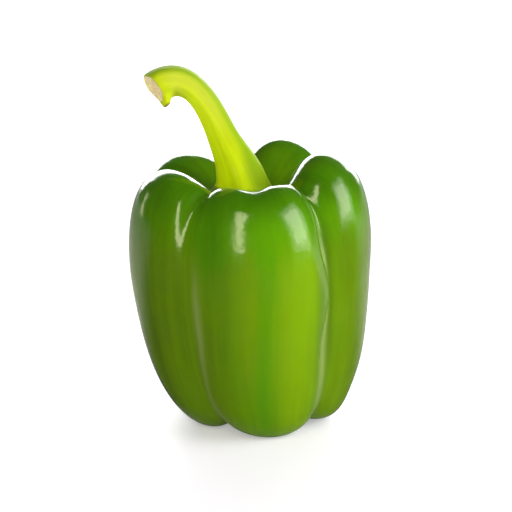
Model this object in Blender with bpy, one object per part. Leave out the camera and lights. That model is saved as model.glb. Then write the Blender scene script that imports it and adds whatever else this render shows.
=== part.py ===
"""A green bell pepper: a five-lobed fruit that stands on its lobes, and its bent stem with the calyx.

Metres, +Z up. The origin is on the surface that the pepper stands on, under the middle of its bounding box.
The front is at -Y. Azimuths are in degrees, from 0 at the front towards 90 at +X.
Heights and radii in the tables are in millimetres or, where a comment says so, shares of a driving dimension.
"""

import math

import bmesh
import bpy
from mathutils import Vector, noise
from mathutils.bvhtree import BVHTree

MM = 0.001

# Driving dimensions, in millimetres
FRUIT_RADIUS = 43.4
FRUIT_HEIGHT = 92.0
AXIS_X, AXIS_Y = -1.8, 1.1
STEM_GAP = 0.35

# Mesh density
FRUIT_AROUND, FRUIT_RINGS = 80, 52
STEM_AROUND, STEM_RINGS = 30, 50

# The fruit's lobes, numbered from the front one towards +X
LOBES = 5
FIRST_GROOVE = -27.0
LOBE_PITCH = 360.0 / LOBES

# Shares of (FRUIT_RADIUS, FRUIT_HEIGHT), from the blossom end, over the shoulder, to the stem end
LOBE_LINE = (
    (0.00, 0.100), (0.12, 0.092), (0.29, 0.030), (0.46, -0.014), (0.625, 0.002),
    (0.765, 0.080), (0.880, 0.225), (0.955, 0.405), (1.005, 0.60), (1.010, 0.775),
    (0.955, 0.915), (0.82, 0.995), (0.64, 1.015), (0.48, 0.975), (0.365, 0.905),
    (0.21, 0.870), (0.00, 0.862),
)
GROOVE_LINE = (
    (0.00, 0.100), (0.12, 0.094), (0.26, 0.064), (0.41, 0.034), (0.560, 0.042),
    (0.690, 0.115), (0.785, 0.245), (0.845, 0.415), (0.872, 0.585), (0.865, 0.745),
    (0.805, 0.860), (0.69, 0.920), (0.56, 0.930), (0.44, 0.912), (0.340, 0.882),
    (0.21, 0.867), (0.00, 0.862),
)
LAST_STATION = len(LOBE_LINE) - 1

# Each groove: how far it wanders in degrees, how deep it is as a share of GROOVE_LINE,
# and how rounded its valley is, at evenly spaced stations from the blossom end to the crest
GROOVE_STATIONS = (2.0, 12.0)
GROOVES = (
    {
        "wander": (-2, -3, -8, -1, -4, 0),
        "depth": (1.00, 1.00, 0.95, 0.55, 0.75, 0.75),
        "valley": (0.07, 0.07, 0.07, 0.45, 0.20, 0.07),
    },
    {
        "wander": (1, 1, 3, 7, 3, 1),
        "depth": (1.00, 1.00, 1.15, 1.30, 1.30, 1.00),
        "valley": (0.07, 0.07, 0.07, 0.06, 0.06, 0.07),
    },
    {
        "wander": (2, 0, -2, 0, 2, 1),
        "depth": (1.00, 1.10, 1.20, 1.20, 1.30, 1.70),
        "valley": (0.07, 0.08, 0.10, 0.12, 0.08, 0.07),
    },
    {
        "wander": (-3, 0, 2, -1, 1, 0),
        "depth": (1.10, 1.10, 1.10, 1.10, 1.40, 1.95),
        "valley": (0.07, 0.08, 0.14, 0.22, 0.12, 0.07),
    },
    {
        "wander": (1, 0, -1, 2, 0, -2),
        "depth": (1.00, 1.00, 1.00, 0.95, 1.00, 0.90),
        "valley": (0.07, 0.08, 0.12, 0.16, 0.10, 0.07),
    },
)
FLANK = 0.95
CROWDING = 0.4

# Each lobe: how much wider than FRUIT_RADIUS, and how far its crest and its tip stand up, in millimetres
LOBE_WIDTH = (0.0, 0.01, 0.0, 0.0, -0.035)
CREST_RISE = (-1.2, 3.2, 1.2, -2.0, -0.4)
TIP_RISE = (0.0, 1.2, 0.1, -0.3, -0.1)

# The fruit leans: its blossom end lies LEAN from the axis, and above LEAN_TOP its middle is on the axis
LEAN, LEAN_TOP, LEAN_POWER = 6.0, 57.0, 1.6

# Swells and dents: place round in lobes, place along in stations, half widths in the same,
# and push in millimetres
SWELLS = (
    (0.47, 12.0, 0.10, 1.2, -1.8),
    (0.46, 9.8, 0.11, 1.4, -0.5),
    (0.72, 8.4, 0.16, 1.6, 1.0),
    (0.75, 6.5, 0.16, 1.6, 0.6),
    (0.92, 8.0, 0.11, 0.7, 1.2),
    (0.92, 9.2, 0.11, 0.7, -1.3),
    (0.90, 6.8, 0.12, 0.7, -1.4),
    (1.50, 5.2, 0.30, 1.0, -0.8),
    (1.45, 10.8, 0.12, 1.4, -0.8),
    (1.50, 12.9, 0.28, 1.1, 2.2),
    (0.13, 12.0, 0.14, 1.5, 1.2),
    (0.82, 12.0, 0.13, 1.4, 0.8),
    (1.62, 11.0, 0.20, 1.7, -0.8),
    (1.70, 7.0, 0.15, 1.5, 0.9),
    (2.55, 9.2, 0.16, 1.8, -1.0),
    (3.40, 11.2, 0.14, 1.3, -1.0),
    (3.60, 6.6, 0.18, 1.6, 0.9),
    (4.45, 8.2, 0.16, 1.8, -0.9),
    (4.60, 11.4, 0.12, 1.2, 0.7),
    (4.80, 9.8, 0.11, 1.8, 0.8),
)
RIPPLE, RIPPLE_SCALE = 0.35, 26.0
SCAR_RADIUS, SCAR_DEPTH = 2.0, 1.1

# The stem's axis, from the calyx to the cut, in millimetres from the fruit's axis
STEM_PATH = (
    (-0.1, 0.0, 79.3), (-0.3, 0.0, 84.0), (-2.9, 0.0, 92.6), (-6.8, -0.3, 99.9),
    (-9.3, -0.6, 106.0), (-12.3, -0.9, 112.2), (-15.3, -1.3, 116.7), (-18.4, -1.7, 119.9),
    (-21.8, -2.1, 121.9), (-25.4, -2.8, 122.4), (-28.9, -3.7, 121.4), (-31.3, -4.6, 119.9),
)
# The stem's end is cut at a slant: the way that the cut faces, and where the sections begin to turn to it
CUT_FACES, CUT_TURN_START = (-0.73, -0.51, -0.46), 0.80
# (radius in millimetres, distance along the axis as a share of its length), from under the calyx to the cut
STEM_PROFILE = (
    (0.0, 0.000), (4.0, 0.000), (8.0, 0.000), (10.2, 0.000), (11.6, 0.009), (11.2, 0.028),
    (10.2, 0.048), (9.5, 0.080), (8.7, 0.125), (7.4, 0.175), (6.2, 0.230), (5.4, 0.290),
    (5.0, 0.360), (4.75, 0.430), (4.6, 0.500), (4.55, 0.570), (4.6, 0.640), (4.8, 0.710),
    (4.95, 0.780), (5.2, 0.850), (5.4, 0.910), (5.4, 0.955), (5.2, 0.990), (4.9, 1.000),
    (4.6, 1.000), (2.5, 0.992), (0.0, 0.990),
)
STEM_RIDGES, FIRST_RIDGE, RIDGE_TURN, RIDGE_SHARE = 5, 0.82, 0.35, 0.035
CALYX_TEETH_SHARE = 0.14
CALYX_LIES_TO, STEM_STANDS_FROM = 3.0, 9.0
SPUR_LENGTH, SPUR_LEAN, SPUR_HALF_WIDTH = 2.6, 0.50, 0.55
SPUR_START, SPUR_PEAK, SPUR_AT_CUT = 0.56, 0.968, 0.25


def clear_scene():
    """Removes every object that the scene starts with."""
    for thing in list(bpy.data.objects):
        bpy.data.objects.remove(thing, do_unlink=True)


def smooth_step(low, high, value):
    """0 below low, 1 above high, and a smooth rise between them."""
    share = min(1.0, max(0.0, (value - low) / (high - low)))
    return share * share * (3.0 - 2.0 * share)


def through_ends(points):
    """Adds a control point beyond each end, so that the spline passes through the end points."""
    first = tuple(2 * a - b for a, b in zip(points[0], points[1]))
    last = tuple(2 * a - b for a, b in zip(points[-1], points[-2]))
    return (first, *points, last)


def across_axis(points):
    """Adds a control point on the other side of the axis at each end, so that the spline crosses it level."""
    first = (-points[1][0], *points[1][1:])
    last = (-points[-2][0], *points[-2][1:])
    return (first, *points, last)


def on_spline(controls, place):
    """The point of a uniform cubic B-spline at place, which is 0 at the second control point."""
    index = min(max(int(place), 0), len(controls) - 4)
    share = place - index
    weights = (
        (1 - share) ** 3 / 6,
        (3 * share ** 3 - 6 * share ** 2 + 4) / 6,
        (-3 * share ** 3 + 3 * share ** 2 + 3 * share + 1) / 6,
        share ** 3 / 6,
    )
    near = controls[index:index + 4]
    return tuple(sum(weight * value for weight, value in zip(weights, values)) for values in zip(*near))


LOBE_CONTROLS = across_axis(LOBE_LINE)
GROOVE_CONTROLS = across_axis(GROOVE_LINE)
STEM_CONTROLS = through_ends(STEM_PATH)
STEM_PROFILE_CONTROLS = across_axis(STEM_PROFILE)


def groove_value(number, key, station):
    """A groove's wander, depth or valley at a station of the profile."""
    low, high = GROOVE_STATIONS
    controls = through_ends([(value,) for value in GROOVES[number % LOBES][key]])
    place = (min(high, max(low, station)) - low) / (high - low) * (len(controls) - 3)
    return on_spline(controls, place)[0]


def lobe_value(values, lobe, across):
    """A lobe's value at its middle, blended smoothly with its neighbour's towards the groove."""
    neighbour = (lobe + (1 if across > 0.5 else -1)) % LOBES
    share = (1.0 - math.cos(math.pi * abs(across - 0.5))) / 2.0
    return values[lobe] * (1.0 - share) + values[neighbour] * share


def groove_share(across, valley):
    """0 along the middle of a lobe and 1 in the grooves beside it, with round flanks and a rounded valley."""
    from_groove = 1.0 - abs(2.0 * across - 1.0)
    rounded = (math.hypot(from_groove, valley) - valley) / (math.hypot(1.0, valley) - valley)
    out = FLANK * (1.0 - rounded)
    return (1.0 - math.sqrt(1.0 - out * out)) / (1.0 - math.sqrt(1.0 - FLANK * FLANK))


def fruit_point(turn, station):
    """A point of the fruit's skin without its swells, in millimetres from the fruit's axis."""
    lobe = int(turn) % LOBES
    share = turn - int(turn)
    across = share - CROWDING * math.sin(2.0 * math.pi * share) / (2.0 * math.pi)
    before = FIRST_GROOVE + lobe * LOBE_PITCH + groove_value(lobe, "wander", station)
    after = FIRST_GROOVE + (lobe + 1) * LOBE_PITCH + groove_value(lobe + 1, "wander", station)
    azimuth = math.radians(before + (after - before) * across)
    blend = smooth_step(0.0, 1.0, across)
    depth, valley = (
        groove_value(lobe, key, station) * (1.0 - blend) + groove_value(lobe + 1, key, station) * blend
        for key in ("depth", "valley")
    )

    on_lobe = on_spline(LOBE_CONTROLS, station)
    in_groove = on_spline(GROOVE_CONTROLS, station)
    towards = groove_share(across, valley) * depth
    radius = abs(on_lobe[0] + (in_groove[0] - on_lobe[0]) * towards) * FRUIT_RADIUS
    height = (on_lobe[1] + (in_groove[1] - on_lobe[1]) * towards) * FRUIT_HEIGHT

    away = smooth_step(0.15 * FRUIT_RADIUS, 0.6 * FRUIT_RADIUS, radius)
    crest = smooth_step(0.45 * FRUIT_HEIGHT, FRUIT_HEIGHT, height) * away
    tip = (1.0 - smooth_step(0.0, 0.35 * FRUIT_HEIGHT, height)) * away
    if station < LAST_STATION / 2:
        height += SCAR_DEPTH * math.exp(-((radius / SCAR_RADIUS) ** 2))
    radius *= 1.0 + lobe_value(LOBE_WIDTH, lobe, across) * away
    height += crest * lobe_value(CREST_RISE, lobe, across) + tip * lobe_value(TIP_RISE, lobe, across)
    lean = LEAN * max(0.0, 1.0 - height / LEAN_TOP) ** LEAN_POWER
    return Vector((radius * math.sin(azimuth) + lean, -radius * math.cos(azimuth), height))


def fruit_push(turn, station, place):
    """How far swells, dents and ripples push the skin out at a place, in millimetres."""
    push = RIPPLE * noise.noise(place / RIPPLE_SCALE)
    for place_round, place_along, half_round, half_along, height in SWELLS:
        apart = (turn - place_round + LOBES / 2.0) % LOBES - LOBES / 2.0
        away = (apart / half_round) ** 2 + ((station - place_along) / half_along) ** 2
        push += height * math.exp(-away)
    return push * smooth_step(0.2 * FRUIT_RADIUS, 0.5 * FRUIT_RADIUS, math.hypot(place.x, place.y))


def stem_point(turn, place, skin):
    """A point of the stem and calyx, in millimetres from the fruit's axis.

    turn is an angle round the stem and place is along STEM_PROFILE. skin gives the fruit's height at a point.
    Near the fruit the calyx lies on the skin, and above it the stem follows its own axis.
    """
    radius, along = (abs(value) for value in on_spline(STEM_PROFILE_CONTROLS, place))
    last = len(STEM_PATH) - 1
    centre = Vector(on_spline(STEM_CONTROLS, along * last))
    behind = Vector(on_spline(STEM_CONTROLS, max(0.0, along * last - 0.05)))
    ahead = Vector(on_spline(STEM_CONTROLS, min(last, along * last + 0.05)))
    forward = (ahead - behind).normalized()
    forward = forward.lerp(Vector(CUT_FACES), smooth_step(CUT_TURN_START, 1.0, along)).normalized()
    side = Vector((0.0, 1.0, 0.0)).cross(forward).normalized()
    back = forward.cross(side)

    teeth = CALYX_TEETH_SHARE * smooth_step(9.5, 13.0, radius)
    ridge = math.cos(STEM_RIDGES * (turn - FIRST_RIDGE + RIDGE_TURN * along))
    radius *= 1.0 + (RIDGE_SHARE + teeth) * ridge
    from_below = abs((turn % (2.0 * math.pi)) - math.pi)
    spur = smooth_step(SPUR_START, SPUR_PEAK, along)
    spur *= 1.0 - (1.0 - SPUR_AT_CUT) * smooth_step(SPUR_PEAK, 1.0, along)
    spur *= smooth_step(0.0, 4.0, radius)
    spur *= SPUR_LENGTH * math.exp(-((from_below / SPUR_HALF_WIDTH) ** 2))
    radius += spur
    standing = centre + (side * math.cos(turn) + back * math.sin(turn)) * radius + forward * spur * SPUR_LEAN

    height = along * STEM_LENGTH
    if height >= STEM_STANDS_FROM:
        return standing
    lying = Vector((centre.x + radius * math.cos(turn), centre.y + radius * math.sin(turn), 0.0))
    lying.z = skin(lying.x, lying.y) + STEM_GAP + height
    return lying.lerp(standing, smooth_step(CALYX_LIES_TO, STEM_STANDS_FROM, height))


def spline_length(controls, steps=200):
    """The length of a B-spline."""
    last = len(controls) - 3
    places = [Vector(on_spline(controls, last * step / steps)) for step in range(steps + 1)]
    return sum((b - a).length for a, b in zip(places, places[1:]))


STEM_LENGTH = spline_length(STEM_CONTROLS)


def material(name, colour, roughness):
    """A Principled material with the piece's own colour and roughness."""
    made = bpy.data.materials.new(name)
    made.use_nodes = True
    shader = made.node_tree.nodes["Principled BSDF"]
    shader.inputs["Base Color"].default_value = (*colour, 1.0)
    shader.inputs["Roughness"].default_value = roughness
    shader.inputs["Metallic"].default_value = 0.0
    return made


def angle_and_share(vertex):
    """A unit sphere's vertex as its angle round the poles and its share of the way from the lower pole."""
    angle = math.atan2(vertex.co.y, vertex.co.x) % (2.0 * math.pi)
    return angle, 1.0 - math.acos(max(-1.0, min(1.0, vertex.co.z))) / math.pi


def place_and_finish(shape, name, finish, collection):
    """Moves a shape from millimetres on the fruit's axis into the pepper's frame, and makes it an object."""
    for vertex in shape.verts:
        vertex.co = (vertex.co + Vector((AXIS_X, AXIS_Y, 0.0))) * MM
    bmesh.ops.recalc_face_normals(shape, faces=shape.faces)
    mesh = bpy.data.meshes.new(name)
    shape.to_mesh(mesh)
    shape.free()
    mesh.shade_smooth()
    mesh.materials.append(finish)
    thing = bpy.data.objects.new(name, mesh)
    collection.objects.link(thing)
    return thing


def build_fruit(collection):
    """The fruit: one solid with five lobes, flat where it stands."""
    shape = bmesh.new()
    bmesh.ops.create_uvsphere(shape, u_segments=FRUIT_AROUND, v_segments=FRUIT_RINGS, radius=1.0)
    places = []
    for vertex in shape.verts:
        angle, share = angle_and_share(vertex)
        places.append((angle / (2.0 * math.pi) * LOBES % LOBES, share * LAST_STATION))
        vertex.co = fruit_point(*places[-1])
    shape.normal_update()
    for vertex, (turn, station) in zip(shape.verts, places):
        vertex.co += vertex.normal * fruit_push(turn, station, vertex.co)
    for vertex in shape.verts:
        vertex.co.z = max(0.0, vertex.co.z)
    return place_and_finish(shape, "fruit", material("pepper_skin", (0.095, 0.26, 0.005), 0.22), collection)


def build_stem(collection, fruit):
    """The stem: one solid from the calyx, which lies on the fruit, to the cut."""
    tree = BVHTree.FromPolygons(
        [vertex.co.copy() for vertex in fruit.data.vertices],
        [tuple(face.vertices) for face in fruit.data.polygons],
    )

    def skin(x, y):
        above = Vector(((x + AXIS_X) * MM, (y + AXIS_Y) * MM, 2.0 * FRUIT_HEIGHT * MM))
        return tree.ray_cast(above, Vector((0.0, 0.0, -1.0)))[0].z / MM

    shape = bmesh.new()
    bmesh.ops.create_uvsphere(shape, u_segments=STEM_AROUND, v_segments=STEM_RINGS, radius=1.0)
    for vertex in shape.verts:
        angle, share = angle_and_share(vertex)
        vertex.co = stem_point(angle, share * (len(STEM_PROFILE) - 1), skin)
    return place_and_finish(shape, "stem", material("stem_skin", (0.54, 0.66, 0.02), 0.45), collection)


def main():
    """Builds the pepper's two pieces in their own collection."""
    clear_scene()
    pepper = bpy.data.collections.new("bell_pepper")
    bpy.context.scene.collection.children.link(pepper)
    fruit = build_fruit(pepper)
    build_stem(pepper, fruit)


if __name__ == "__main__":
    main()
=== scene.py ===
"""The looks of a green bell pepper on a white surface: its lobed, glossy fruit and its bent stem.

Metres, +Z up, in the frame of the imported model. The front is at -Y, and the stem bends towards -X.
Tables of lengths are in millimetres from the fruit's own axis, unless a comment says otherwise.
"""

import logging
import math
from collections.abc import Callable, Sequence
from dataclasses import dataclass, field
from enum import Enum

import bmesh
import bpy
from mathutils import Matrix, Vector, noise
from mathutils.bvhtree import BVHTree


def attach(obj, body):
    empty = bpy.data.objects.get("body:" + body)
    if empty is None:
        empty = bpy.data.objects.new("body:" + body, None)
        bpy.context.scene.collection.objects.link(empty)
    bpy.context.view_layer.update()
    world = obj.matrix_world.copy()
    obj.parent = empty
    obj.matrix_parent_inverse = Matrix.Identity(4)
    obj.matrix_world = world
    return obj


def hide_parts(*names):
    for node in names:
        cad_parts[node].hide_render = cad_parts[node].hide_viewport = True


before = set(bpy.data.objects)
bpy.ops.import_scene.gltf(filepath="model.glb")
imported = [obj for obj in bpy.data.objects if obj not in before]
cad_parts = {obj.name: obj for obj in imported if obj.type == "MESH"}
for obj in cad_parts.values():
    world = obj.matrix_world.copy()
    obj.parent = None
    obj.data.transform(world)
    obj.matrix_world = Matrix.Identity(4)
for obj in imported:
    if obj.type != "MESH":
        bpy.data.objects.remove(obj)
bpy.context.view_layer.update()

LOG = logging.getLogger("bell_pepper")
MM = 0.001
FULL_TURN = 2.0 * math.pi

Colour = tuple[float, float, float]
Point = tuple[float, ...]
Values = tuple[float, ...]
Range = tuple[float, float]
Socket = bpy.types.NodeSocket

# Where the fruit's axis stands in the frame, in millimetres
FRUIT_AXIS = (-1.8, 1.1)
# Between these lies most of what smooth noise gives
CLOUD_RANGE = (0.35, 0.65)


# Curves and smooth numbers


def smooth_step(low: float, high: float, value: float) -> float:
    """Eases a value's share of the way from low to high, from 0 to 1."""
    share = min(1.0, max(0.0, (value - low) / (high - low)))
    return share * share * (3.0 - 2.0 * share)


def mix(start: float, end: float, share: float) -> float:
    """The number that lies a share of the way from start to end."""
    return start + (end - start) * share


@dataclass(frozen=True)
class Spline:
    """A uniform cubic B-spline. Its place 0 is at its second control point."""

    controls: tuple[Point, ...]

    @classmethod
    def through_ends(cls, points: Sequence[Point]) -> "Spline":
        """Makes a spline that starts and stops on its end points.

        Args:
            points: The control points, from one end to the other.

        Returns:
            The spline, with one more control point beyond each end.
        """
        first = tuple(2 * a - b for a, b in zip(points[0], points[1]))
        last = tuple(2 * a - b for a, b in zip(points[-1], points[-2]))
        return cls((first, *points, last))

    @classmethod
    def across_axis(cls, points: Sequence[Point]) -> "Spline":
        """Makes a profile that crosses its axis level at both ends.

        Args:
            points: Pairs of radius and height, from one pole to the other.

        Returns:
            The spline, with one more control point on the other side of the axis at each end.
        """
        first = (-points[1][0], *points[1][1:])
        last = (-points[-2][0], *points[-2][1:])
        return cls((first, *points, last))

    @property
    def last(self) -> int:
        """The place of the spline's far end."""
        return len(self.controls) - 3

    def point(self, place: float) -> Point:
        """Finds a point of the spline.

        Args:
            place: How far along, counted in control points.

        Returns:
            The point, with as many coordinates as the controls have.
        """
        index = min(max(int(place), 0), self.last - 1)
        share = place - index
        weights = (
            (1 - share) ** 3 / 6,
            (3 * share ** 3 - 6 * share ** 2 + 4) / 6,
            (-3 * share ** 3 + 3 * share ** 2 + 3 * share + 1) / 6,
            share ** 3 / 6,
        )
        near = self.controls[index:index + 4]
        return tuple(sum(weight * value for weight, value in zip(weights, values)) for values in zip(*near))

    def length(self, steps: int = 200) -> float:
        """The spline's length, measured along this many straight steps."""
        places = [Vector(self.point(self.last * step / steps)) for step in range(steps + 1)]
        return sum((after - before).length for before, after in zip(places, places[1:]))


def angle_and_share(place: Vector) -> tuple[float, float]:
    """A unit sphere's vertex as its angle in radians and its share of the way up from the lower pole."""
    angle = math.atan2(place.y, place.x) % FULL_TURN
    return angle, 1.0 - math.acos(max(-1.0, min(1.0, place.z))) / math.pi


# Finishes


class NodeSheet:
    """The nodes of one material or world, added one by one and joined."""

    def __init__(self, owner: bpy.types.Material | bpy.types.World) -> None:
        """Empties the owner's node tree and keeps it."""
        owner.use_nodes = True
        self.tree = owner.node_tree
        self.tree.nodes.clear()

    def put(self, socket: Socket, value: object) -> None:
        """Joins another node's socket to this one, or sets this one's own value.

        Args:
            socket: The input to fill.
            value: A socket, a number, or a list of numbers.
        """
        if isinstance(value, Socket):
            self.tree.links.new(value, socket)
        elif socket.type == "RGBA":
            socket.default_value = (*value, 1.0)
        else:
            socket.default_value = value

    def add(
        self, kind: str, inputs: dict[str | int, object] | None = None, **settings: object
    ) -> bpy.types.Node:
        """Adds a node.

        Args:
            kind: The node's type.
            inputs: What its inputs get, by name or number.
            **settings: Its options.

        Returns:
            The node.
        """
        node = self.tree.nodes.new(kind)
        for name, value in settings.items():
            setattr(node, name, value)
        for name, value in (inputs or {}).items():
            self.put(node.inputs[name], value)
        return node

    def number(self, name: str) -> Socket:
        """A number that the mesh holds for each of its points."""
        return self.add("ShaderNodeAttribute", attribute_name=name).outputs["Fac"]

    def vector(self, name: str) -> Socket:
        """A vector that the mesh holds for each of its points."""
        return self.add("ShaderNodeAttribute", attribute_name=name).outputs["Vector"]

    def place(self) -> Socket:
        """The place on the piece, in metres."""
        return self.add("ShaderNodeTexCoord").outputs["Object"]

    def stretched(self, vector: Socket, scale: Point, shift: Point = (0.0, 0.0, 0.0)) -> Socket:
        """A vector, scaled on each axis and then shifted."""
        inputs = {"Vector": vector, "Scale": scale, "Location": shift}
        return self.add("ShaderNodeMapping", inputs).outputs["Vector"]

    def clouds(self, vector: Socket, scale: float, detail: float, rough: float = 0.5) -> Socket:
        """Smooth noise, mostly from 0.3 to 0.7, with this many finer layers of this strength."""
        inputs = {"Vector": vector, "Scale": scale, "Detail": detail, "Roughness": rough}
        return self.add("ShaderNodeTexNoise", inputs).outputs["Fac"]

    def reckon(self, operation: str, first: object, second: object = 0.0, third: object = 0.0) -> Socket:
        """What an operation makes of two or three numbers or sockets."""
        inputs = {0: first, 1: second, 2: third}
        return self.add("ShaderNodeMath", inputs, operation=operation).outputs["Value"]

    def sway(self, base: Socket, clouds: Socket, amount: float) -> Socket:
        """A number that moves up and down with an amount of smooth noise, whose middle is 0.5."""
        return self.reckon("MULTIPLY_ADD", self.reckon("SUBTRACT", clouds, 0.5), amount, base)

    def part_of(self, name: str, share: float) -> Socket:
        """A share of a number that the mesh holds for each of its points."""
        return self.reckon("MULTIPLY", self.number(name), share)

    def spread(self, value: Socket, low: float, high: float, start: float = 0.0, end: float = 1.0) -> Socket:
        """A number, eased from start where it is low to end where it is high, and never past them."""
        inputs = {"Value": value, "From Min": low, "From Max": high, "To Min": start, "To Max": end}
        return self.add("ShaderNodeMapRange", inputs, interpolation_type="SMOOTHSTEP").outputs["Result"]

    def ramp(self, value: Socket, stops: Sequence[tuple[float, Colour]]) -> Socket:
        """Adds a colour ramp.

        Args:
            value: Where on the ramp to read.
            stops: Places from 0 to 1 and their colours.

        Returns:
            The colour.
        """
        node = self.add("ShaderNodeValToRGB", {"Fac": value})
        elements = node.color_ramp.elements
        for element, (place, colour) in zip(elements, (stops[0], stops[-1])):
            element.position = place
            element.color = (*colour, 1.0)
        for place, colour in stops[1:-1]:
            elements.new(place).color = (*colour, 1.0)
        return node.outputs["Color"]

    def blend(self, share: object, first: object, second: object) -> Socket:
        """Two colours or sockets, blended by the share of the second one."""
        return self.add("ShaderNodeMix", {0: share, 6: first, 7: second}, data_type="RGBA").outputs[2]

    def bump(self, height: Socket, distance: float) -> Socket:
        """The normal over relief of its own, from 0 to 1, where 1 stands this distance high in metres."""
        return self.add("ShaderNodeBump", {"Height": height, "Distance": distance}).outputs["Normal"]

    def finish(self, inputs: dict[str, object]) -> None:
        """Makes a surface of these inputs and sends it to the material's output."""
        shader = self.add("ShaderNodeBsdfPrincipled", inputs)
        self.add("ShaderNodeOutputMaterial", {"Surface": shader.outputs[0]})


@dataclass(frozen=True)
class PepperSkin:
    """Taut, waxy skin: darker on the shoulders, with soft streaks from end to end and a pale painted
    reflection beside the grooves.
    """

    deep_green: Colour = (0.016, 0.085, 0.0004)
    bright_green: Colour = (0.105, 0.32, 0.0004)
    deep_olive: Colour = (0.03, 0.07, 0.0004)
    bright_olive: Colour = (0.18, 0.34, 0.001)
    scar: Colour = (0.19, 0.13, 0.055)
    # the pale colour of the painted reflection beside the grooves
    painted_reflection: Colour = (0.37, 0.43, 0.19)
    roughness: Range = (0.12, 0.18)
    ior: float = 1.5
    # How much light goes under the skin, in what colour, and how far in metres
    depth_share: float = 0.12
    depth_colour: Colour = (0.6, 1.0, 0.12)
    depth: float = 0.003
    sheen: float = 0.05
    sheen_roughness: float = 0.35
    # Streaks and mottling, and what they add to the tone and the olive share
    broad_scale: Point = (7.0, 7.0, 3.0)
    fine_scale: Point = (24.0, 24.0, 7.0)
    fine_shift: Point = (3.0, 1.0, 2.0)
    mottle_scale: float = 130.0
    broad_tone: float = 0.5
    fine_tone: float = 0.14
    mottle_tone: float = 0.12
    broad_olive: float = -0.5
    fine_olive: float = 0.4
    # Pale specks, and the changes of gloss
    speck_scale: float = 620.0
    speck_edge: Range = (0.1, 0.26)
    speck_share: float = 0.06
    gloss_scale: float = 85.0
    scar_roughness: float = 0.45
    # Relief, and its height in metres
    ripple_scale: float = 330.0
    pore_scale: float = 1700.0
    pore_share: float = 0.16
    relief: float = 0.0001

    def make(self) -> bpy.types.Material:
        """Makes the skin's material.

        Returns:
            The material. It reads the mesh's own grain, tone, olive and scar values, and the share of
            painted reflection; the tone holds some painted shade and light.
        """
        made = bpy.data.materials.new("pepper_skin")
        sheet = NodeSheet(made)
        grain = sheet.vector("grain")
        place = sheet.place()

        broad = sheet.clouds(sheet.stretched(grain, self.broad_scale), 1.0, 3.0, 0.55)
        fine = sheet.clouds(sheet.stretched(grain, self.fine_scale, self.fine_shift), 1.0, 3.0, 0.6)
        mottle = sheet.clouds(place, self.mottle_scale, 4.0, 0.6)
        tone = sheet.sway(sheet.number("tone"), broad, self.broad_tone)
        tone = sheet.sway(tone, fine, self.fine_tone)
        tone = sheet.sway(tone, mottle, self.mottle_tone)
        green = sheet.ramp(tone, ((0.0, self.deep_green), (1.0, self.bright_green)))
        olive = sheet.ramp(tone, ((0.0, self.deep_olive), (1.0, self.bright_olive)))
        share = sheet.sway(sheet.number("olive"), broad, self.broad_olive)
        share = sheet.sway(share, fine, self.fine_olive)
        colour = sheet.blend(sheet.spread(share, 0.0, 1.0), green, olive)

        inputs = {"Vector": place, "Scale": self.speck_scale, "Randomness": 1.0}
        dots = sheet.add("ShaderNodeTexVoronoi", inputs, feature="F1")
        specks = sheet.spread(dots.outputs["Distance"], *self.speck_edge, self.speck_share, 0.0)
        colour = sheet.blend(specks, colour, self.bright_olive)
        # painted reflection: pale bands beside the grooves
        colour = sheet.blend(sheet.number("painted_reflection"), colour, self.painted_reflection)
        colour = sheet.blend(sheet.number("scar"), colour, self.scar)

        rough = sheet.spread(sheet.clouds(place, self.gloss_scale, 3.0), *CLOUD_RANGE, *self.roughness)
        rough = sheet.reckon("MULTIPLY_ADD", sheet.number("scar"), self.scar_roughness, rough)

        ripples = sheet.clouds(place, self.ripple_scale, 2.0)
        pores = sheet.clouds(place, self.pore_scale, 2.0)
        relief = sheet.reckon("MULTIPLY_ADD", pores, self.pore_share, ripples)
        sheet.finish({
            "Base Color": colour,
            "Roughness": rough,
            "IOR": self.ior,
            "Subsurface Weight": self.depth_share,
            "Subsurface Radius": self.depth_colour,
            "Subsurface Scale": self.depth,
            "Sheen Weight": self.sheen,
            "Sheen Roughness": self.sheen_roughness,
            "Normal": sheet.bump(relief, self.relief),
        })
        return made


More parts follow.
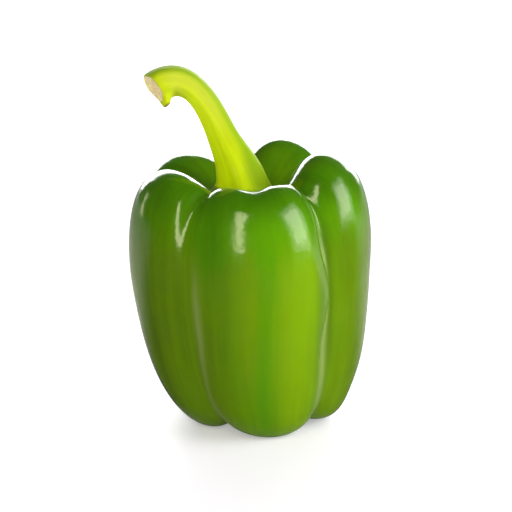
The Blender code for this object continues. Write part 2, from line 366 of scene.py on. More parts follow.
@dataclass(frozen=True)
class StemSkin:
    """Ribbed, satin stalk: green at the calyx, painted darker green outside as shade and yellow below as
    painted light, with a pale cut and a brown rim.
    """

    calyx: Colour = (0.05, 0.125, 0.008)
    base: Colour = (0.58, 0.74, 0.004)
    neck: Colour = (0.49, 0.6, 0.006)
    pale: Colour = (0.5, 0.57, 0.045)
    # the yellow of the painted light on the under side
    painted_light_under: Colour = (0.8, 0.96, 0.006)
    # the ribs' olive, which also serves as the painted shade on the outer side
    rib: Colour = (0.18, 0.33, 0.004)
    pith: Colour = (0.95, 0.88, 0.48)
    wood: Colour = (0.8, 0.58, 0.38)
    dry: Colour = (0.16, 0.09, 0.035)
    ior: float = 1.3
    specular: float = 0.1
    # How much light goes into the stalk, in what colour, and how far in metres
    depth_share: float = 0.7
    depth_colour: Colour = (0.9, 1.0, 0.15)
    depth: float = 0.006
    roughness: Range = (0.42, 0.56)
    cut_roughness: float = 0.4
    # Fibres, streaks and blots, and how far the fibres shift the colours along the stalk
    fibre_scale: Point = (9.0, 9.0, 3.0)
    fibre_shift: float = 0.03
    streak_edge: Range = (0.34, 0.62)
    blot_scale: float = 240.0
    blot_edge: Range = (0.6, 0.78)
    pith_scale: float = 900.0
    # How much of each colour shows at the most
    # the most that the painted light on the under side shows
    painted_light_share: float = 0.85
    streak_share: float = 0.08
    rib_share: float = 0.18
    blot_share: float = 0.15
    # the most that the painted shade on the outer side shows
    painted_shade_share: float = 0.8
    rim_share: float = 0.6
    # Relief, and its height in metres
    pore_scale: float = 1500.0
    pore_share: float = 0.35
    relief: float = 0.00012

    def make(self) -> bpy.types.Material:
        """Makes the stalk's material.

        Returns:
            The material. It reads the mesh's own grain, along, rib, cut, rim and dry values, and the shares
            of painted shade on the outer side and painted light on the under side.
        """
        made = bpy.data.materials.new("stem_skin")
        sheet = NodeSheet(made)
        grain = sheet.vector("grain")
        place = sheet.place()
        fibres = sheet.clouds(sheet.stretched(grain, self.fibre_scale), 1.0, 4.0, 0.65)
        blots = sheet.clouds(place, self.blot_scale, 4.0, 0.6)

        along = sheet.sway(sheet.number("along"), fibres, self.fibre_shift)
        stops = (
            (0.0, self.calyx), (0.045, self.calyx), (0.09, self.base), (0.27, self.neck),
            (0.5, self.pale), (0.8, self.pale), (1.0, self.neck),
        )
        colour = sheet.ramp(along, stops)
        # painted light: the under side lighter and yellower, less so towards the cut
        colour = sheet.blend(sheet.part_of("painted_light_under", self.painted_light_share), colour, self.painted_light_under)
        streaks = sheet.spread(fibres, *self.streak_edge, self.streak_share, 0.0)
        colour = sheet.blend(streaks, colour, self.rib)
        colour = sheet.blend(sheet.part_of("rib", self.rib_share), colour, self.rib)
        colour = sheet.blend(sheet.spread(blots, *self.blot_edge, 0.0, self.blot_share), colour, self.wood)
        # painted shade: the outer side darker, in the ribs' olive
        colour = sheet.blend(sheet.part_of("painted_shade_outer", self.painted_shade_share), colour, self.rib)

        spots = sheet.clouds(place, self.pith_scale, 4.0, 0.7)
        end = sheet.blend(sheet.spread(spots, *CLOUD_RANGE), self.pith, self.wood)
        end = sheet.blend(sheet.part_of("rim", self.rim_share), end, self.dry)
        colour = sheet.blend(sheet.number("cut"), colour, end)
        colour = sheet.blend(sheet.number("dry"), colour, self.dry)

        rough = sheet.spread(fibres, *CLOUD_RANGE, *self.roughness)
        rough = sheet.reckon("MULTIPLY_ADD", sheet.number("cut"), self.cut_roughness, rough)
        pores = sheet.clouds(place, self.pore_scale, 3.0, 0.6)
        relief = sheet.reckon("MULTIPLY_ADD", pores, self.pore_share, fibres)
        sheet.finish({
            "Base Color": colour,
            "Roughness": rough,
            "IOR": self.ior,
            "Specular IOR Level": self.specular,
            "Subsurface Weight": self.depth_share,
            "Subsurface Radius": self.depth_colour,
            "Subsurface Scale": self.depth,
            "Normal": sheet.bump(relief, self.relief),
        })
        return made


@dataclass(frozen=True)
class WhiteSurface:
    """A plain white surface with a faint gloss, which the skin mirrors darker in front than behind."""

    white: Colour = (0.735, 0.72, 0.91)
    mirrored: Colour = (0.04, 0.04, 0.04)
    mirrored_behind: Colour = (0.6, 0.6, 0.6)
    glow: float = 0.35
    roughness: float = 0.45
    specular: float = 0.3
    # Where it is mirrored dark, in metres: in front but not near the middle, and again far behind
    dark_until: Range = (0.0, 0.09)
    dark_from_middle: Range = (0.02, 0.034)
    far_dark_from: Range = (0.18, 0.32)
    far_dark_share: float = 0.3

    def make(self) -> bpy.types.Material:
        """Makes the floor's material.

        Returns:
            The material.
        """
        made = bpy.data.materials.new("white_surface")
        sheet = NodeSheet(made)
        place = sheet.place()
        depth = sheet.add("ShaderNodeSeparateXYZ", {"Vector": place}).outputs["Y"]
        away = sheet.add("ShaderNodeVectorMath", {0: place}, operation="LENGTH").outputs["Value"]
        near = sheet.spread(depth, *self.dark_until, 1.0, 0.0)
        near = sheet.reckon("MULTIPLY", near, sheet.spread(away, *self.dark_from_middle))
        far = sheet.spread(depth, *self.far_dark_from, 0.0, self.far_dark_share)
        dark = sheet.reckon("MAXIMUM", near, far)
        rays = sheet.add("ShaderNodeLightPath").outputs
        mirrored = sheet.blend(dark, self.mirrored_behind, self.mirrored)
        colour = sheet.blend(rays["Is Glossy Ray"], self.white, mirrored)
        sheet.finish({
            "Base Color": colour,
            "Roughness": self.roughness,
            "Specular IOR Level": sheet.reckon("MULTIPLY", rays["Is Camera Ray"], self.specular),
            "Emission Color": (1.0, 1.0, 1.0),
            "Emission Strength": sheet.reckon("MULTIPLY", rays["Is Camera Ray"], self.glow),
        })
        return made


# The pieces


@dataclass(frozen=True)
class Patch:
    """A soft-edged patch of the fruit: its middle, half its size, and how much it adds."""

    turn: float  # in lobes
    station: float
    half_turn: float
    half_station: float
    amount: float

    def at(self, turn: float, station: float, lobes: int) -> float:
        """Finds what the patch adds at a place.

        Args:
            turn: The place round the fruit, in lobes.
            station: The place along its profile.
            lobes: How many lobes make a full turn.

        Returns:
            The amount there.
        """
        apart = (turn - self.turn + lobes / 2.0) % lobes - lobes / 2.0
        away = (apart / self.half_turn) ** 2 + ((station - self.station) / self.half_station) ** 2
        return self.amount * math.exp(-away)


def patches(*rows: Values) -> tuple[Patch, ...]:
    """Makes a patch of each row: turn, station, half of each, and amount."""
    return tuple(Patch(*row) for row in rows)


@dataclass(frozen=True)
class Groove:
    """A groove between two lobes, from the blossom end to the crest."""

    wander: Values  # degrees
    depth: Values  # shares of the groove's profile
    valley: Values  # how rounded it is


@dataclass(frozen=True)
class Ring:
    """What all points at one station of the fruit's profile share."""

    station: float
    on_lobe: Point
    in_groove: Point
    azimuths: Values
    depths: Values
    valleys: Values


@dataclass
class Fruit:
    """The fruit: five lobes round a hollow at each end. It stands on four of their tips."""

    radius: float = 43.4
    height: float = 92.0
    around: int = 320
    rings: int = 208
    first_groove: float = -27.0  # degrees
    # Shares of the radius and the height, from the blossom end to the stem end
    lobe_line: tuple[Point, ...] = (
        (0.0, 0.1), (0.12, 0.092), (0.29, 0.03), (0.46, -0.014), (0.625, 0.002),
        (0.765, 0.08), (0.88, 0.225), (0.955, 0.405), (1.005, 0.6), (1.01, 0.775),
        (0.955, 0.915), (0.82, 0.995), (0.64, 1.015), (0.48, 0.975), (0.365, 0.905),
        (0.21, 0.87), (0.0, 0.862),
    )
    groove_line: tuple[Point, ...] = (
        (0.0, 0.1), (0.12, 0.094), (0.26, 0.064), (0.41, 0.034), (0.56, 0.042),
        (0.69, 0.115), (0.785, 0.245), (0.845, 0.415), (0.872, 0.585), (0.865, 0.745),
        (0.805, 0.86), (0.69, 0.92), (0.56, 0.93), (0.44, 0.912), (0.34, 0.882),
        (0.21, 0.867), (0.0, 0.862),
    )
    groove_stations: Range = (2.0, 12.0)
    grooves: tuple[Groove, ...] = (
        Groove((-2, -3, -8, -1, -4, 0), (1.0, 1.0, 0.95, 0.55, 0.75, 0.75),
               (0.07, 0.07, 0.07, 0.45, 0.2, 0.07)),
        Groove((1, 1, 3, 7, 3, 1), (1.0, 1.0, 1.15, 1.3, 1.3, 1.0),
               (0.07, 0.07, 0.07, 0.06, 0.06, 0.07)),
        Groove((2, 0, -2, 0, 2, 1), (1.0, 1.1, 1.2, 1.2, 1.3, 1.7),
               (0.07, 0.08, 0.1, 0.12, 0.08, 0.07)),
        Groove((-3, 0, 2, -1, 1, 0), (1.1, 1.1, 1.1, 1.1, 1.4, 1.95),
               (0.07, 0.08, 0.14, 0.22, 0.12, 0.07)),
        Groove((1, 0, -1, 2, 0, -2), (1.0, 1.0, 1.0, 0.95, 1.0, 0.9),
               (0.07, 0.08, 0.12, 0.16, 0.1, 0.07)),
    )
    # How round a lobe is, and how much its points crowd at the grooves
    flank: float = 0.95
    crowding: float = 0.4
    # Each lobe, from the front one towards +X
    lobe_width: Values = (0.0, 0.01, 0.0, 0.0, -0.035)
    crest_rise: Values = (-1.2, 3.2, 1.2, -2.0, -0.4)
    tip_rise: Values = (0.0, 1.2, 0.1, -0.3, -0.1)
    # Shares of the radius or the height where those, and the swells, set in
    lobes_set_in: Range = (0.15, 0.6)
    crest_from: float = 0.45
    tip_to: float = 0.35
    swells_set_in: Range = (0.2, 0.5)
    # The blossom end lies lean from the axis, and above lean_top the fruit is upright
    lean: float = 6.0
    lean_top: float = 57.0
    lean_power: float = 1.6
    swells: tuple[Patch, ...] = patches(
        (0.47, 12.0, 0.1, 1.2, -1.8), (0.46, 9.8, 0.11, 1.4, -0.5), (0.72, 8.4, 0.16, 1.6, 1.0),
        (0.75, 6.5, 0.16, 1.6, 0.6), (0.92, 8.0, 0.11, 0.7, 1.2), (0.92, 9.2, 0.11, 0.7, -1.3),
        (0.9, 6.8, 0.12, 0.7, -1.4), (1.5, 5.2, 0.3, 1.0, -0.8), (1.45, 10.8, 0.12, 1.4, -0.8),
        (1.5, 12.9, 0.28, 1.1, 2.2), (0.13, 12.0, 0.14, 1.5, 1.2), (0.82, 12.0, 0.13, 1.4, 0.8),
        (1.62, 11.0, 0.2, 1.7, -0.8), (1.7, 7.0, 0.15, 1.5, 0.9), (2.55, 9.2, 0.16, 1.8, -1.0),
        (3.4, 11.2, 0.14, 1.3, -1.0), (3.6, 6.6, 0.18, 1.6, 0.9), (4.45, 8.2, 0.16, 1.8, -0.9),
        (4.6, 11.4, 0.12, 1.2, 0.7), (4.8, 9.8, 0.11, 1.8, 0.8),
    )
    # The skin's tone and olive share, what the shoulder adds to them, and where it lies
    tone: float = 0.76
    olive: float = 0.62
    shoulder_tone: float = -0.42
    shoulder_olive: float = -0.5
    shoulder: Range = (0.84, 0.98)
    shoulder_green: Range = (0.66, 0.92)
    # Where the inner walls begin, past which the tone patches' painted light and shade reach over the
    # shoulder, and how much more olive they are
    inner_wall: Range = (12.0, 13.0)
    inner_olive_from: Range = (11.5, 13.0)
    inner_olive: float = 0.35
    # Where the skin is lighter or, with a negative amount, darker: partly its own tone, partly painted shade
    # on the left and right lobes and the front lobe's left side, and painted light on the rear inner wall
    tones_and_painted_shading: tuple[Patch, ...] = patches(
        (0.51, 9.0, 0.1, 2.2, 0.12), (0.42, 7.6, 0.05, 2.4, 0.08), (0.66, 6.8, 0.09, 3.0, 0.18),
        (0.66, 8.2, 0.08, 1.2, 0.14), (0.58, 4.6, 0.2, 1.8, 0.1), (0.2, 6.6, 0.15, 2.6, -0.22),
        (0.24, 9.6, 0.09, 1.0, -0.16), (0.78, 9.8, 0.1, 0.8, -0.12), (0.84, 8.0, 0.09, 1.4, -0.16),
        (1.5, 6.4, 0.5, 3.0, -0.3), (1.5, 8.6, 0.4, 0.8, -0.18), (1.4, 4.6, 0.3, 1.4, 0.1),
        (2.6, 7.0, 0.25, 3.0, 0.1), (3.4, 5.5, 0.3, 2.2, 0.12), (4.6, 7.4, 0.42, 3.2, -0.38),
        (4.34, 7.0, 0.1, 2.0, 0.14), (4.4, 9.2, 0.25, 1.2, -0.16), (2.5, 13.6, 0.4, 1.2, 0.34),
        (4.5, 11.0, 0.4, 1.0, -0.16),
    )
    # Where the skin is more olive or, with a negative amount, a purer green
    olives: tuple[Patch, ...] = patches(
        (0.5, 9.4, 0.085, 2.4, -0.42), (0.48, 5.6, 0.09, 1.6, -0.44), (0.56, 6.4, 0.045, 2.6, 0.36),
        (0.42, 7.4, 0.045, 2.4, 0.3), (0.66, 7.0, 0.09, 3.0, 0.3), (0.14, 6.2, 0.12, 2.4, 0.3),
        (0.22, 9.4, 0.1, 1.0, -0.5), (1.5, 6.0, 0.45, 3.5, 0.42), (2.5, 6.0, 0.3, 3.0, -0.2),
        (3.4, 5.0, 0.25, 3.0, 0.25), (4.6, 7.0, 0.45, 3.5, 0.34),
    )
    # Where a pale reflection is painted on the skin, beside the grooves at either side of the front lobe
    painted_reflections: tuple[Patch, ...] = patches(
        (0.92, 3.0, 0.085, 1.4, 0.56), (0.92, 5.2, 0.08, 1.8, 0.56), (0.962, 8.2, 0.042, 1.7, 0.6),
        (0.09, 7.9, 0.035, 0.7, 0.26), (0.12, 7.0, 0.035, 0.8, 0.28), (0.1, 5.6, 0.035, 0.9, 0.18),
        (0.05, 3.6, 0.035, 1.2, 0.34),
    )
    # Fine unevenness: its height and its width, in millimetres
    ripple: float = 0.35
    ripple_scale: float = 26.0
    # The small raised scar at the blossom end, in millimetres
    scar_radius: float = 2.0
    scar_rise: float = 1.1
    scar_edge: Range = (1.2, 3.2)
    skin: PepperSkin = field(default_factory=PepperSkin)
    lobes: int = field(init=False)
    lobe_spline: Spline = field(init=False)
    groove_spline: Spline = field(init=False)

    def __post_init__(self) -> None:
        """Makes the splines that the points are read from."""
        self.lobes = len(self.grooves)
        self.lobe_spline = Spline.across_axis(self.lobe_line)
        self.groove_spline = Spline.across_axis(self.groove_line)

    def groove_value(self, values: Values, station: float) -> float:
        """Reads a groove's wander, depth or valley.

        Args:
            values: Its values at evenly spaced stations.
            station: The place along the profile.

        Returns:
            The value there.
        """
        low, high = self.groove_stations
        spline = Spline.through_ends([(value,) for value in values])
        share = (min(high, max(low, station)) - low) / (high - low)
        return spline.point(share * spline.last)[0]

    def ring(self, station: float) -> Ring:
        """Works out what all points at a station share.

        Args:
            station: The place along the profile.

        Returns:
            The profile points, and each groove's azimuth, depth and roundness.
        """
        pitch = 360.0 / self.lobes
        azimuths = []
        depths = []
        valleys = []
        for number in range(self.lobes + 1):
            groove = self.grooves[number % self.lobes]
            azimuths.append(self.first_groove + number * pitch + self.groove_value(groove.wander, station))
            depths.append(self.groove_value(groove.depth, station))
            valleys.append(self.groove_value(groove.valley, station))
        on_lobe = self.lobe_spline.point(station)
        in_groove = self.groove_spline.point(station)
        return Ring(station, on_lobe, in_groove, tuple(azimuths), tuple(depths), tuple(valleys))

    def groove_share(self, across: float, valley: float) -> float:
        """Tells how far a place across a lobe is into a groove.

        Args:
            across: The place across the lobe, from groove to groove.
            valley: How rounded the groove is.

        Returns:
            0 along the middle of the lobe, and 1 in the grooves.
        """
        from_groove = 1.0 - abs(2.0 * across - 1.0)
        rounded = (math.hypot(from_groove, valley) - valley) / (math.hypot(1.0, valley) - valley)
        out = self.flank * (1.0 - rounded)
        return (1.0 - math.sqrt(1.0 - out * out)) / (1.0 - math.sqrt(1.0 - self.flank * self.flank))

    def lobe_value(self, values: Values, lobe: int, across: float) -> float:
        """A lobe's own value at its middle, and the mean with its neighbour's in the groove."""
        neighbour = (lobe + (1 if across > 0.5 else -1)) % self.lobes
        return mix(values[lobe], values[neighbour], (1.0 - math.cos(math.pi * abs(across - 0.5))) / 2.0)

    def point(self, turn: float, ring: Ring) -> Vector:
        """Finds a point of the skin without its swells.

        Args:
            turn: The place round the fruit, in lobes.
            ring: The station's shared values.

        Returns:
            The point, in millimetres from the fruit's axis.
        """
        lobe = int(turn) % self.lobes
        share = turn - int(turn)
        across = share - self.crowding * math.sin(FULL_TURN * share) / FULL_TURN
        azimuth = math.radians(mix(ring.azimuths[lobe], ring.azimuths[lobe + 1], across))
        blend = smooth_step(0.0, 1.0, across)
        depth = mix(ring.depths[lobe], ring.depths[lobe + 1], blend)
        valley = mix(ring.valleys[lobe], ring.valleys[lobe + 1], blend)
        towards = self.groove_share(across, valley) * depth
        radius = abs(mix(ring.on_lobe[0], ring.in_groove[0], towards)) * self.radius
        height = mix(ring.on_lobe[1], ring.in_groove[1], towards) * self.height

        start, end = self.lobes_set_in
        away = smooth_step(start * self.radius, end * self.radius, radius)
        crest = smooth_step(self.crest_from * self.height, self.height, height) * away
        tip = (1.0 - smooth_step(0.0, self.tip_to * self.height, height)) * away
        if ring.station < self.lobe_spline.last / 2:
            height += self.scar_rise * math.exp(-((radius / self.scar_radius) ** 2))
        radius *= 1.0 + self.lobe_value(self.lobe_width, lobe, across) * away
        height += crest * self.lobe_value(self.crest_rise, lobe, across)
        height += tip * self.lobe_value(self.tip_rise, lobe, across)
        lean = self.lean * max(0.0, 1.0 - height / self.lean_top) ** self.lean_power
        return Vector((radius * math.sin(azimuth) + lean, -radius * math.cos(azimuth), height))

    def sum_of(self, group: Sequence[Patch], turn: float, station: float) -> float:
        """What a group of patches together adds at a place."""
        return sum(patch.at(turn, station, self.lobes) for patch in group)

    def push(self, turn: float, station: float, place: Vector) -> float:
        """Adds up the swells, dents and ripples at a place.

        Args:
            turn: The place round the fruit, in lobes.
            station: The place along its profile.
            place: The point itself, in millimetres.

        Returns:
            How far the skin stands out there, in millimetres.
        """
        push = self.ripple * noise.noise(place / self.ripple_scale)
        push += self.sum_of(self.swells, turn, station)
        start, end = self.swells_set_in
        return push * smooth_step(start * self.radius, end * self.radius, math.hypot(place.x, place.y))

    def colouring(self, turn: float, station: float, place: Vector) -> tuple[float, float]:
        """Tells how light and how olive the skin is at a place, with painted shade and painted light in how
        light it is.

        Args:
            turn: The place round the fruit, in lobes.
            station: The place along its profile.
            place: The point itself, in millimetres.

        Returns:
            The tone and the olive share, each mostly from 0 to 1.
        """
        up = place.z / self.height
        shoulder = smooth_step(*self.shoulder, up)
        inside = smooth_step(*self.inner_wall, station)
        tone = self.tone + self.shoulder_tone * shoulder
        # the patches add painted shade and painted light as well as the skin's own tone
        tone += self.sum_of(self.tones_and_painted_shading, turn, station) * max(1.0 - shoulder, inside)
        olive = self.olive + self.shoulder_olive * smooth_step(*self.shoulder_green, up)
        olive += self.inner_olive * smooth_step(*self.inner_olive_from, station)
        return tone, olive + self.sum_of(self.olives, turn, station)

    def make(self) -> bpy.types.Object:
        """Builds and dresses the fruit.

        Returns:
            The fruit.
        """
        shape = bmesh.new()
        layers = shape.verts.layers
        grain = layers.float_vector.new("grain")
        tone, olive, painted_reflection, scar = (layers.float.new(name) for name in ("tone", "olive", "painted_reflection", "scar"))
        bmesh.ops.create_uvsphere(shape, u_segments=self.around, v_segments=self.rings, radius=1.0)
        last = self.lobe_spline.last
        rings = [self.ring(last * number / self.rings) for number in range(self.rings + 1)]
        places = []
        for vertex in shape.verts:
            angle, share = angle_and_share(vertex.co)
            ring = rings[round(share * self.rings)]
            turn = angle / FULL_TURN * self.lobes % self.lobes
            places.append((turn, ring.station))
            vertex[grain] = Vector((math.cos(angle), math.sin(angle), ring.station / last))
            vertex.co = self.point(turn, ring)
        shape.normal_update()
        for vertex, (turn, station) in zip(shape.verts, places):
            vertex.co += vertex.normal * self.push(turn, station, vertex.co)
            vertex.co.z = max(0.0, vertex.co.z)
            vertex[tone], vertex[olive] = self.colouring(turn, station, vertex.co)
            # painted reflection beside the grooves
            vertex[painted_reflection] = self.sum_of(self.painted_reflections, turn, station)
            if station < last / 2:
                from_scar = math.hypot(vertex.co.x - self.lean, vertex.co.y)
                vertex[scar] = 1.0 - smooth_step(*self.scar_edge, from_scar)
        piece = make_piece(shape, "fruit_skin", self.skin.make())
        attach(piece, "root")
        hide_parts("fruit")
        return piece


@dataclass
class Stem:
    """The stem: a calyx in the fruit's upper hollow, and a ribbed stalk that bends over to a slanted cut."""

    around: int = 120
    rings: int = 234
    # How deep the calyx is sunk in the skin, and a height above the whole fruit
    sunk: float = 0.3
    above_fruit: float = 180.0
    # The axis, from the calyx to the cut, and the step that its direction is read over
    path: tuple[Point, ...] = (
        (-0.1, 0.0, 79.3), (-0.3, 0.0, 84.0), (-2.9, 0.0, 92.6), (-6.8, -0.3, 99.9),
        (-9.3, -0.6, 106.0), (-12.3, -0.9, 112.2), (-15.3, -1.3, 116.7), (-18.4, -1.7, 119.9),
        (-21.8, -2.1, 121.9), (-25.4, -2.8, 122.4), (-28.9, -3.7, 121.4), (-31.3, -4.6, 119.9),
    )
    tangent_step: float = 0.05
    # The way that the cut faces, and where the sections begin to turn to it
    cut_faces: Point = (-0.73, -0.51, -0.46)
    cut_turn_start: float = 0.8
    # Radius in millimetres and share of the length, from under the calyx to the cut
    profile: tuple[Point, ...] = (
        (0.0, 0.0), (4.0, 0.0), (8.0, 0.0), (10.2, 0.0), (11.6, 0.009), (11.2, 0.028),
        (10.2, 0.048), (9.5, 0.08), (8.7, 0.125), (7.4, 0.175), (6.2, 0.23), (5.4, 0.29),
        (5.0, 0.36), (4.75, 0.43), (4.6, 0.5), (4.55, 0.57), (4.6, 0.64), (4.8, 0.71),
        (4.95, 0.78), (5.2, 0.85), (5.4, 0.91), (5.4, 0.955), (5.2, 0.99), (4.9, 1.0),
        (4.6, 1.0), (2.5, 0.992), (0.0, 0.99),
    )
    # The ridges, with their angles in radians
    ridges: int = 5
    first_ridge: float = 0.82
    ridge_turn: float = 0.35
    ridge_share: float = 0.035
    # The calyx: its teeth, and the heights where it leaves the fruit's skin
    teeth_share: float = 0.14
    teeth_from: Range = (9.5, 13.0)
    lies_to: float = 3.0
    stands_from: float = 9.0
    # The spur under the cut, and where along the stalk it starts and peaks
    spur_length: float = 2.6
    spur_lean: float = 0.5
    spur_half_width: float = 0.55
    spur_start: float = 0.56
    spur_peak: float = 0.968
    spur_at_cut: float = 0.25
    # The radii where the relief and the spur set in, and the fibres
    relief_from: Range = (0.0, 4.0)
    fibre_depth: float = 0.1
    fibres_round: float = 3.2
    fibres_along: float = 4.0
    # Where the colours change, in shares of the length, and of the way round to the outer side with its
    # painted shade and to the under side with its painted light
    foot: Range = (0.13, 0.27)
    # painted shade on the outer side: where it spreads round, how much wider at the foot, and where it
    # starts along the stalk
    painted_shade_from: Range = (0.45, 0.95)
    painted_shade_wider_at_foot: Range = (0.4, 0.25)
    painted_shade_above: Range = (0.02, 0.1)
    # painted light on the under side: where it spreads round, where it starts along the stalk, and where and
    # how much it fades
    painted_light_from: Range = (-0.4, 0.6)
    painted_light_above: Range = (0.05, 0.14)
    painted_light_fades: Range = (0.55, 0.8)
    painted_light_fade: float = 0.7
    # Where the cut starts and its rim ends, in places from the profile's end, and the rim's radii
    cut_from: Range = (-3.4, -3.0)
    rim_to: Range = (-3.0, -2.4)
    rim_radius: Range = (3.9, 4.9)
    dry_spur: Range = (0.62, 0.92)
    skin: StemSkin = field(default_factory=StemSkin)
    path_spline: Spline = field(init=False)
    profile_spline: Spline = field(init=False)
    length: float = field(init=False)

    def __post_init__(self) -> None:
        """Makes the splines that the points are read from."""
        self.path_spline = Spline.through_ends(self.path)
        self.profile_spline = Spline.across_axis(self.profile)
        self.length = self.path_spline.length()

    def ridge(self, turn: float, along: float) -> float:
        """The stalk's ridges: 1 on a ridge and -1 between two."""
        return math.cos(self.ridges * (turn - self.first_ridge + self.ridge_turn * along))

    def spur(self, turn: float, along: float, radius: float) -> float:
        """Tells where the spur under the cut is.

        Args:
            turn: The angle round the stalk, in radians.
            along: The share of the stalk's length.
            radius: The stalk's own radius there, in millimetres.

        Returns:
            The share of the spur's length there, from 0 to 1.
        """
        from_below = abs(turn % FULL_TURN - math.pi)
        share = smooth_step(self.spur_start, self.spur_peak, along)
        share *= 1.0 - (1.0 - self.spur_at_cut) * smooth_step(self.spur_peak, 1.0, along)
        share *= smooth_step(*self.relief_from, radius)
        return share * math.exp(-((from_below / self.spur_half_width) ** 2))

    def point(self, turn: float, place: float, skin_height: Callable[[float, float], float]) -> Vector:
        """Finds a point of the stem.

        Args:
            turn: The angle round the stem, in radians.
            place: The place along its profile.
            skin_height: Gives the height of the fruit's skin at a place.

        Returns:
            The point, in millimetres from the fruit's axis. Near the fruit it lies on the skin.
        """
        radius, along = (abs(value) for value in self.profile_spline.point(place))
        last = self.path_spline.last
        centre = Vector(self.path_spline.point(along * last))
        behind = Vector(self.path_spline.point(max(0.0, along * last - self.tangent_step)))
        ahead = Vector(self.path_spline.point(min(last, along * last + self.tangent_step)))
        forward = (ahead - behind).normalized()
        towards_cut = smooth_step(self.cut_turn_start, 1.0, along)
        forward = forward.lerp(Vector(self.cut_faces), towards_cut).normalized()
        side = Vector((0.0, 1.0, 0.0)).cross(forward).normalized()
        back = forward.cross(side)

        teeth = self.teeth_share * smooth_step(*self.teeth_from, radius)
        across = (self.fibres_round * math.cos(turn), self.fibres_round * math.sin(turn))
        fibre = self.fibre_depth * noise.noise(Vector((*across, along * self.fibres_along)))
        spur = self.spur_length * self.spur(turn, along, radius)
        radius *= 1.0 + (self.ridge_share + teeth) * self.ridge(turn, along)
        radius += spur + fibre * smooth_step(*self.relief_from, radius)
        standing = centre + (side * math.cos(turn) + back * math.sin(turn)) * radius
        standing += forward * spur * self.spur_lean

        height = along * self.length
        if height >= self.stands_from:
            return standing
        lying = Vector((centre.x + radius * math.cos(turn), centre.y + radius * math.sin(turn), 0.0))
        lying.z = skin_height(lying.x, lying.y) - self.sunk + height
        return lying.lerp(standing, smooth_step(self.lies_to, self.stands_from, height))

    def colouring(self, turn: float, along: float, place: float, radius: float) -> dict[str, float]:
        """Tells how the stem is coloured at a place, with painted shade on its outer side and painted light
        on its under side.

        Args:
            turn: The angle round the stem, in radians.
            along: The share of its length.
            place: The place along its profile.
            radius: Its own radius there, in millimetres.

        Returns:
            The values that the stalk's finish reads, by name.
        """
        outwards = math.cos(turn)
        foot = 1.0 - smooth_step(*self.foot, along)
        low, high = (edge - wider * foot for edge, wider in zip(self.painted_shade_from, self.painted_shade_wider_at_foot))
        # painted light on the under side
        painted_light_under = smooth_step(*self.painted_light_from, -outwards) * smooth_step(*self.painted_light_above, along)
        cut = smooth_step(*self.cut_from, place - self.profile_spline.last)
        rim = cut * smooth_step(*self.rim_radius, radius)
        return {
            "along": along,
            "rib": max(0.0, self.ridge(turn, along)) * (1.0 - cut),
            # painted shade on the outer side
            "painted_shade_outer": smooth_step(low, high, outwards) * smooth_step(*self.painted_shade_above, along),
            "painted_light_under": painted_light_under * (1.0 - self.painted_light_fade * smooth_step(*self.painted_light_fades, along)),
            "cut": cut,
            "rim": rim * (1.0 - smooth_step(*self.rim_to, place - self.profile_spline.last)),
            "dry": smooth_step(*self.dry_spur, self.spur(turn, along, radius)),
        }

    def make(self, fruit: bpy.types.Object) -> bpy.types.Object:
        """Builds and dresses the stem.

        Args:
            fruit: The fruit that the calyx lies on.

        Returns:
            The stem.
        """
        tree = BVHTree.FromPolygons(
            [vertex.co.copy() for vertex in fruit.data.vertices],
            [tuple(face.vertices) for face in fruit.data.polygons],
        )

        def skin_height(x: float, y: float) -> float:
            """The height of the fruit's skin under a point above it, in millimetres."""
            above = Vector((x + FRUIT_AXIS[0], y + FRUIT_AXIS[1], self.above_fruit)) * MM
            return tree.ray_cast(above, Vector((0.0, 0.0, -1.0)))[0].z / MM

        shape = bmesh.new()
        layers = shape.verts.layers
        grain = layers.float_vector.new("grain")
        names = ("along", "rib", "painted_shade_outer", "painted_light_under", "cut", "rim", "dry")
        floats = {name: layers.float.new(name) for name in names}
        bmesh.ops.create_uvsphere(shape, u_segments=self.around, v_segments=self.rings, radius=1.0)
        last = self.profile_spline.last
        for vertex in shape.verts:
            turn, share = angle_and_share(vertex.co)
            place = share * last
            radius, along = (abs(value) for value in self.profile_spline.point(place))
            vertex[grain] = Vector((math.cos(turn), math.sin(turn), along * 3.0))
            for name, value in self.colouring(turn, along, place, radius).items():
                vertex[floats[name]] = value
            vertex.co = self.point(turn, place, skin_height)
        piece = make_piece(shape, "stem_and_calyx", self.skin.make())
        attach(piece, "root")
        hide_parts("stem")
        return piece


def make_piece(shape: bmesh.types.BMesh, name: str, finish: bpy.types.Material) -> bpy.types.Object:
    """Moves a shape from the fruit's own axis into the frame and makes it an object.

    Args:
        shape: The shape, in millimetres from the fruit's axis. It is freed.
        name: The object's name.
        finish: Its material.

    Returns:
        The object, with its place in its mesh.
    """
    for vertex in shape.verts:
        vertex.co = (vertex.co + Vector((*FRUIT_AXIS, 0.0))) * MM
    bmesh.ops.recalc_face_normals(shape, faces=shape.faces)
    mesh = bpy.data.meshes.new(name)
    shape.to_mesh(mesh)
    shape.free()
    mesh.shade_smooth()
    mesh.materials.append(finish)
    piece = bpy.data.objects.new(name, mesh)
    bpy.context.scene.collection.objects.link(piece)
    return piece


# The studio


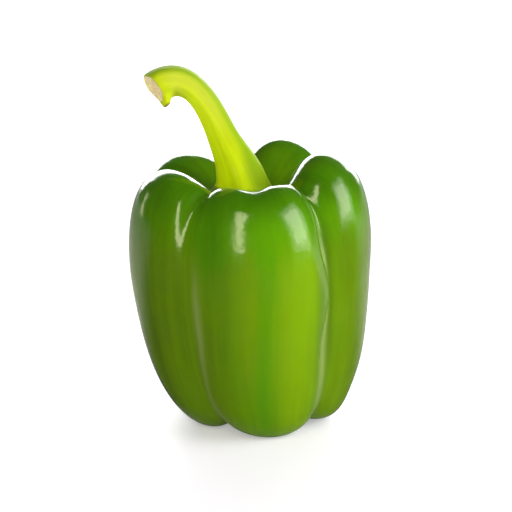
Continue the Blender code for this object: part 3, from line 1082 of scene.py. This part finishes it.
@dataclass(frozen=True)
class Lamp:
    """A softbox that faces the pepper: where it hangs in degrees and metres, its size, and its light."""

    azimuth: float  # from the front towards +X
    elevation: float
    distance: float
    width: float
    height: float
    brightness: float  # a multiple of white
    warmth: float

    @property
    def watts(self) -> float:
        """The power that gives the lamp its brightness."""
        return self.brightness * self.width * self.height * math.pi

    @property
    def colour(self) -> Colour:
        """White, with less blue the warmer the lamp is."""
        return (1.0, 1.0 - 0.15 * self.warmth, 1.0 - self.warmth)

    @property
    def away(self) -> Vector:
        """The direction from the pepper to the lamp."""
        azimuth = math.radians(self.azimuth)
        elevation = math.radians(self.elevation)
        level = math.cos(elevation)
        return Vector((math.sin(azimuth) * level, -math.cos(azimuth) * level, math.sin(elevation)))


class Softbox(Enum):
    """The studio's lamps."""

    BACK = Lamp(180.0, 12.0, 1.50, 2.00, 0.66, 7.0, 0.0)
    RIGHT = Lamp(72.0, 24.0, 0.92, 0.84, 0.94, 2.6, 0.14)
    RIGHT_CORE = Lamp(70.0, 22.0, 0.90, 0.52, 0.62, 4.2, 0.18)
    LEFT = Lamp(-17.0, 27.0, 1.00, 0.19, 1.02, 9.0, 0.40)
    SIDE = Lamp(-120.0, 3.0, 0.90, 0.12, 0.34, 3.0, 0.40)


@dataclass
class Studio:
    """A white surface, soft lamps, and the camera, in metres and degrees."""

    floor_half: float = 3.0
    # How bright the room is in gloss, and as a soft fill
    room: float = 0.03
    fill: float = 0.18
    # The camera, with its lens in millimetres
    aim: Point = (0.00205, 0.0011, 0.0584)
    camera_elevation: float = 17.0
    distance: float = 0.896
    lens: float = 180.0
    sensor: float = 36.0
    sees_from: float = 0.01
    surface: WhiteSurface = field(default_factory=WhiteSurface)

    def make_floor(self) -> None:
        """Builds the surface that the pepper stands on."""
        shape = bmesh.new()
        bmesh.ops.create_grid(shape, x_segments=8, y_segments=8, size=self.floor_half)
        mesh = bpy.data.meshes.new("floor")
        shape.to_mesh(mesh)
        shape.free()
        mesh.materials.append(self.surface.make())
        floor = bpy.data.objects.new("floor", mesh)
        bpy.context.scene.collection.objects.link(floor)

    def make_lamp(self, name: str, lamp: Lamp) -> None:
        """Hangs one softbox, aimed at the pepper.

        Args:
            name: Its name.
            lamp: Its place, size and light.
        """
        light = bpy.data.lights.new(name, "AREA")
        light.shape = "RECTANGLE"
        light.size = lamp.width
        light.size_y = lamp.height
        light.energy = lamp.watts
        light.color = lamp.colour
        hung = bpy.data.objects.new(name, light)
        hung.location = Vector(self.aim) + lamp.away * lamp.distance
        hung.rotation_euler = (-lamp.away).to_track_quat("-Z", "Y").to_euler()
        bpy.context.scene.collection.objects.link(hung)

    def make_room(self) -> None:
        """Makes the room: white where the camera sees it, a soft fill elsewhere, and dim in gloss."""
        world = bpy.data.worlds.new("room")
        sheet = NodeSheet(world)
        rays = sheet.add("ShaderNodeLightPath").outputs
        strength = sheet.reckon("MULTIPLY_ADD", rays["Is Camera Ray"], 1.0 - self.fill, self.fill)
        strength = sheet.reckon("MULTIPLY_ADD", rays["Is Glossy Ray"], self.room - self.fill, strength)
        background = sheet.add("ShaderNodeBackground", {"Color": (1.0, 1.0, 1.0), "Strength": strength})
        sheet.add("ShaderNodeOutputWorld", {"Surface": background.outputs[0]})
        bpy.context.scene.world = world

    def make_camera(self) -> None:
        """Sets up the camera."""
        tilt = math.radians(self.camera_elevation)
        ahead = Vector((0.0, math.cos(tilt), -math.sin(tilt)))
        lens = bpy.data.cameras.new("camera")
        lens.lens = self.lens
        lens.sensor_width = self.sensor
        lens.clip_start = self.sees_from
        camera = bpy.data.objects.new("camera", lens)
        camera.location = Vector(self.aim) - ahead * self.distance
        camera.rotation_euler = ahead.to_track_quat("-Z", "Y").to_euler()
        bpy.context.scene.collection.objects.link(camera)
        bpy.context.scene.camera = camera

    def make(self) -> None:
        """Builds the studio."""
        self.make_camera()
        self.make_room()
        self.make_floor()
        for box in Softbox:
            self.make_lamp(box.name.lower(), box.value)
        bpy.context.scene.view_settings.view_transform = "Standard"


def main() -> None:
    """Builds the pepper and its studio."""
    logging.basicConfig(level=logging.INFO, format="%(name)s: %(message)s")
    Studio().make()
    LOG.info("studio ready")
    fruit = Fruit().make()
    LOG.info("%s: %d faces", fruit.name, len(fruit.data.polygons))
    stem = Stem().make(fruit)
    LOG.info("%s: %d faces", stem.name, len(stem.data.polygons))


if __name__ == "__main__":
    main()
